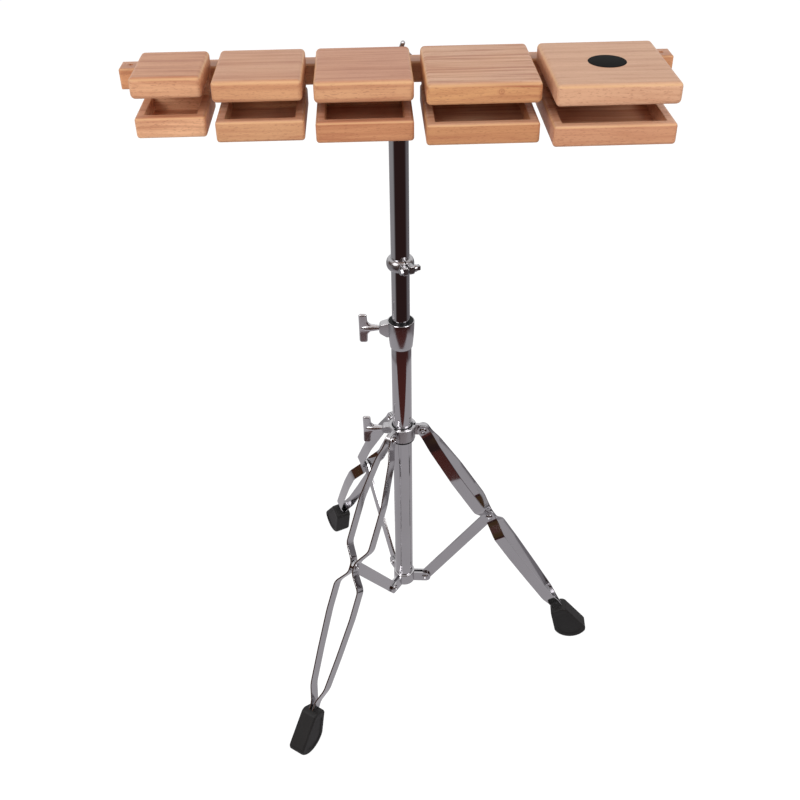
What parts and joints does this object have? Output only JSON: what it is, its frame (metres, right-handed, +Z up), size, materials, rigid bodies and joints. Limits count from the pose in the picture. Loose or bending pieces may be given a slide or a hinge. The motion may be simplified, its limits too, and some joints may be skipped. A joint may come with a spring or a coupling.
{
  "type": "wood block set on folding stand",
  "caption": "Graduated wooden blocks with open mouths on a wooden rail, carried by a chrome double-braced folding stand with rubber feet.",
  "frame": {"origin": "On the floor, in the middle of the object's box.", "axes": "X along the row, from the smallest block to the largest. Y from the mouths to the rail. Z up."},
  "size_m": [0.574, 0.49, 0.8984],
  "materials": {
    "lid_wood": "satin lacquered beech",
    "tray_wood": "satin lacquered beech",
    "rail_wood": "satin lacquered beech",
    "badge_black": "plain black",
    "screw_steel": "zinc plated",
    "insert_brass": "turned",
    "chrome": "bright chrome plate",
    "nylon": "moulded",
    "rubber": "moulded"
  },
  "bodies": {
    "stand": {"main_tube": "chrome", "height_clamp": "chrome", "clamp_bush": "nylon", "base_hub": "chrome", "hub_plug": "nylon", "brace_pins": "chrome"},
    "collar": {"leg_collar": "chrome", "collar_bush": "nylon", "leg_pins": "chrome"},
    "collar_screw": {"collar_wing_screw": "chrome"},
    "clamp_screw": {"clamp_wing_screw": "chrome"},
    "mast": {"upper_tube": "chrome", "top_socket": "chrome"},
    "memory_ring": {"memory_lock": "chrome"},
    "memory_screw": {"memory_key_screw": "chrome"},
    "socket_screw": {"socket_thumb_screw": "chrome"},
    "row": {"block_1_lid": "lid_wood", "block_2_lid": "lid_wood", "block_3_lid": "lid_wood", "block_4_lid": "lid_wood", "block_5_lid": "lid_wood", "block_1_neck": "tray_wood", "block_2_neck": "tray_wood", "block_3_neck": "tray_wood", "block_4_neck": "tray_wood", "block_5_neck": "tray_wood", "block_1_tray": "tray_wood", "block_2_tray": "tray_wood", "block_3_tray": "tray_wood", "block_4_tray": "tray_wood", "block_5_tray": "tray_wood", "badge": "badge_black", "rail": "rail_wood", "rail_insert": "insert_brass", "rail_screws": "screw_steel", "tray_screws": "screw_steel", "rail_bracket": "chrome", "bracket_post": "chrome", "post_ring": "chrome", "bolt_washer": "chrome"},
    "rail_bolt": {"rail_wing_bolt": "chrome"},
    "leg_1": {"leg_1_strip_a": "chrome", "leg_1_strip_b": "chrome", "leg_1_rivet": "chrome", "leg_1_foot": "rubber"},
    "brace_1": {"brace_1": "chrome"},
    "leg_2": {"leg_2_strip_a": "chrome", "leg_2_strip_b": "chrome", "leg_2_rivet": "chrome", "leg_2_foot": "rubber"},
    "brace_2": {"brace_2": "chrome"},
    "leg_3": {"leg_3_strip_a": "chrome", "leg_3_strip_b": "chrome", "leg_3_rivet": "chrome", "leg_3_foot": "rubber"},
    "brace_3": {"brace_3": "chrome"}
  },
  "joints": [
    {"name": "collar_slide", "type": "slide", "parent": "stand", "child": "collar", "axis": [0, 0, 1], "range_m": [0, 0.054]},
    {"name": "leg_1_fold", "type": "hinge", "parent": "collar", "child": "leg_1", "pos_m": [0.02739, -0.01356, 0.392], "axis": [0.0872, 0.9962, 0], "range_deg": [0, 25.43]},
    {"name": "brace_1_fold", "type": "hinge", "parent": "stand", "child": "brace_1", "pos_m": [0.03088, -0.01387, 0.116], "axis": [-0.0872, -0.9962, 0], "range_deg": [0, 30.6]},
    {"name": "leg_2_fold", "type": "hinge", "parent": "collar", "child": "leg_2", "pos_m": [-0.01162, 0.01376, 0.392], "axis": [-0.9063, -0.4226, 0], "range_deg": [0, 25.43]},
    {"name": "brace_2_fold", "type": "hinge", "parent": "stand", "child": "brace_2", "pos_m": [-0.0131, 0.01693, 0.116], "axis": [0.9063, 0.4226, 0], "range_deg": [0, 30.6]},
    {"name": "leg_3_fold", "type": "hinge", "parent": "collar", "child": "leg_3", "pos_m": [-0.01577, -0.03369, 0.392], "axis": [0.8192, -0.5736, 0], "range_deg": [0, 25.43]},
    {"name": "brace_3_fold", "type": "hinge", "parent": "stand", "child": "brace_3", "pos_m": [-0.01778, -0.03656, 0.116], "axis": [-0.8192, 0.5736, 0], "range_deg": [0, 30.6]},
    {"name": "height_slide", "type": "slide", "parent": "stand", "child": "mast", "axis": [0, 0, 1], "range_m": [-0.072, 0.15]},
    {"name": "memory_slide", "type": "slide", "parent": "mast", "child": "memory_ring", "axis": [0, 0, 1], "range_m": [0, 0.15]},
    {"name": "memory_screw_turn", "type": "hinge", "parent": "memory_ring", "child": "memory_screw", "pos_m": [0.00822, -0.02962, 0.641], "axis": [0.9135, 0.4067, 0], "range_deg": [-360, 0]},
    {"name": "clamp_screw_turn", "type": "hinge", "parent": "stand", "child": "clamp_screw", "pos_m": [-0.02693, -0.00928, 0.55], "axis": [-0.9976, 0.0698, 0], "range_deg": [0, 360]},
    {"name": "collar_screw_turn", "type": "hinge", "parent": "collar", "child": "collar_screw", "pos_m": [-0.02687, -0.00853, 0.392], "axis": [-0.9952, 0.0976, 0], "range_deg": [0, 360]},
    {"name": "row_swivel", "type": "hinge", "parent": "mast", "child": "row", "pos_m": [0, -0.01116, 0.831], "axis": [0, 0, 1], "continuous": true},
    {"name": "socket_screw_turn", "type": "hinge", "parent": "mast", "child": "socket_screw", "pos_m": [0, 0.00303, 0.824], "axis": [0, 1, 0], "range_deg": [0, 360]},
    {"name": "rail_bolt_turn", "type": "hinge", "parent": "row", "child": "rail_bolt", "pos_m": [0, 0.00694, 0.87], "axis": [0, 1, 0], "range_deg": [0, 360]}
  ],
  "couplings": [
    {"joint": "leg_1_fold", "follows": "collar_slide", "rad_per_m": 8.2017},
    {"joint": "brace_1_fold", "follows": "collar_slide", "rad_per_m": 9.875},
    {"joint": "leg_2_fold", "follows": "collar_slide", "rad_per_m": 8.2017},
    {"joint": "brace_2_fold", "follows": "collar_slide", "rad_per_m": 9.875},
    {"joint": "leg_3_fold", "follows": "collar_slide", "rad_per_m": 8.2017},
    {"joint": "brace_3_fold", "follows": "collar_slide", "rad_per_m": 9.875}
  ]
}
